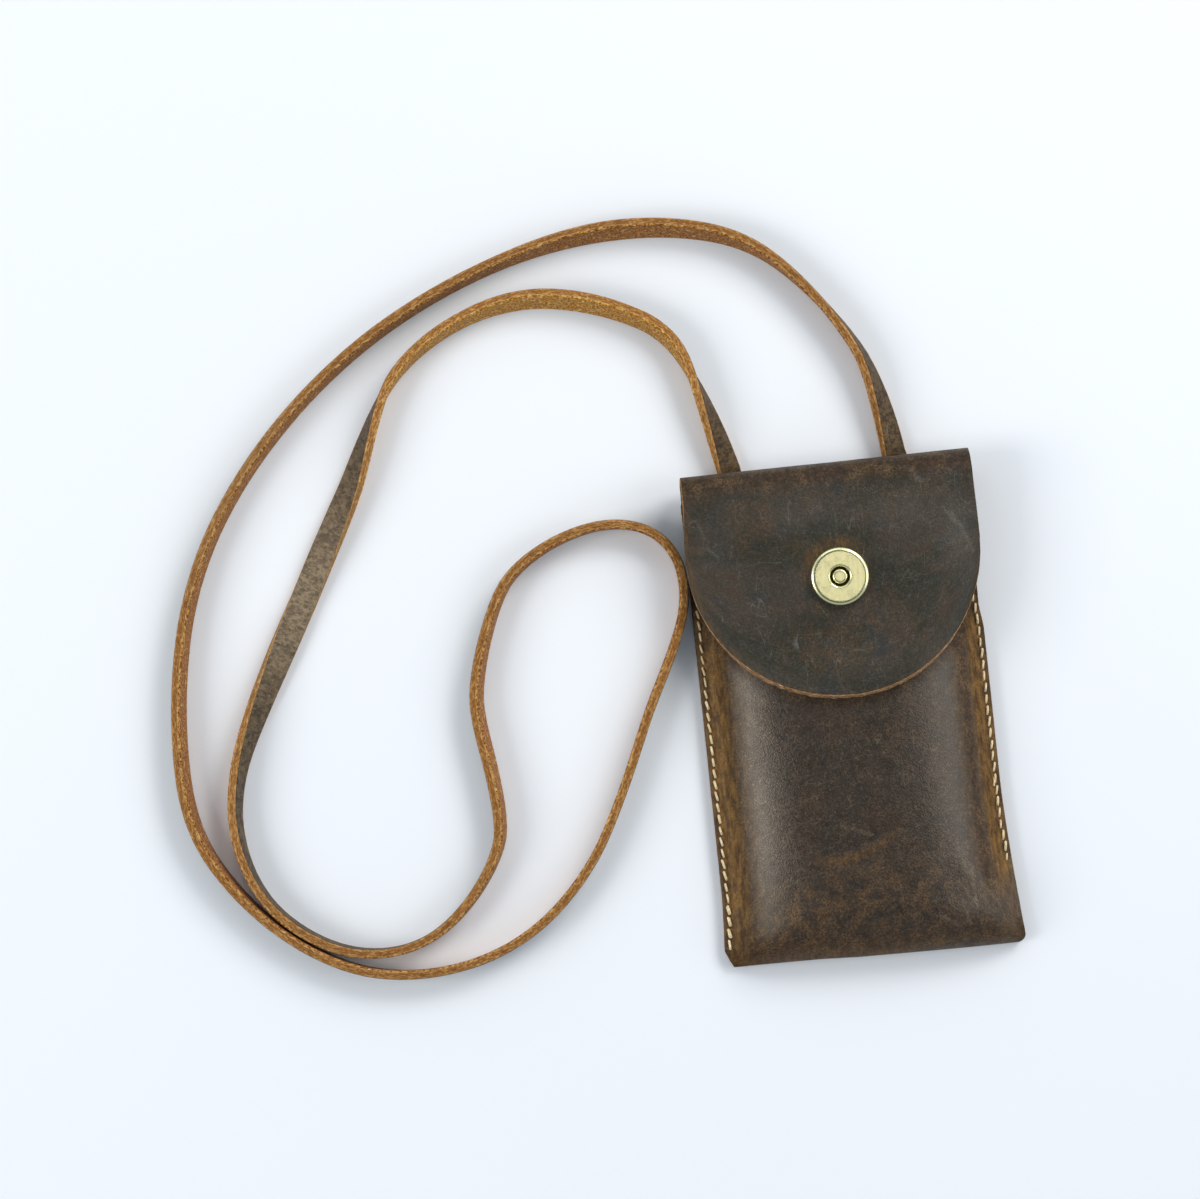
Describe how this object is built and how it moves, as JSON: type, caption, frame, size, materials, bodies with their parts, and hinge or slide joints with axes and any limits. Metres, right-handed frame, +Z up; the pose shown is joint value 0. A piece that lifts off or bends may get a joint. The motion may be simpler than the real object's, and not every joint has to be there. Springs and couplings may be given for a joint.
{
  "type": "phone pouch",
  "caption": "Flat leather phone pouch with a round-ended flap on a magnetic snap, stitched sides, a puffed front and one long flat shoulder strap.",
  "frame": {"origin": "on the table, under the middle of the pouch lying on its back, without the strap", "axes": "+X across the pouch to its right, +Y towards the top fold, +Z up through the front and the flap"},
  "size_m": [0.2898, 0.2637, 0.0256],
  "materials": {
    "leather_dark": "waxed pull-up leather, dark brown, satin",
    "leather_brown": "waxed pull-up leather, brown, satin",
    "strap_leather": "grain side dark brown, flesh side and edges raw tan",
    "thread": "waxed cream linen thread",
    "brass": "pale polished brass",
    "magnet": "nickel-plated ring magnet",
    "steel": "plated steel"
  },
  "bodies": {
    "pouch": {"back_panel": "leather_dark", "front_panel": "leather_brown", "left_seam_thread": "thread", "right_seam_thread": "thread", "strap": "strap_leather", "strap_rivet_posts": "brass", "strap_rivet_caps": "brass", "stud_plate": "brass", "stud_rivet": "brass", "stud_washer": "steel"},
    "flap": {"flap": "leather_dark", "snap_cover": "brass", "snap_rivet": "brass", "snap_magnet_case": "brass", "snap_magnet": "magnet", "snap_base_plate": "steel"}
  },
  "joints": [
    {"name": "flap_fold", "type": "hinge", "parent": "pouch", "child": "flap", "pos_m": [0, 0.086, 0.011], "axis": [-1, 0, 0], "range_deg": [0, 130]}
  ]
}
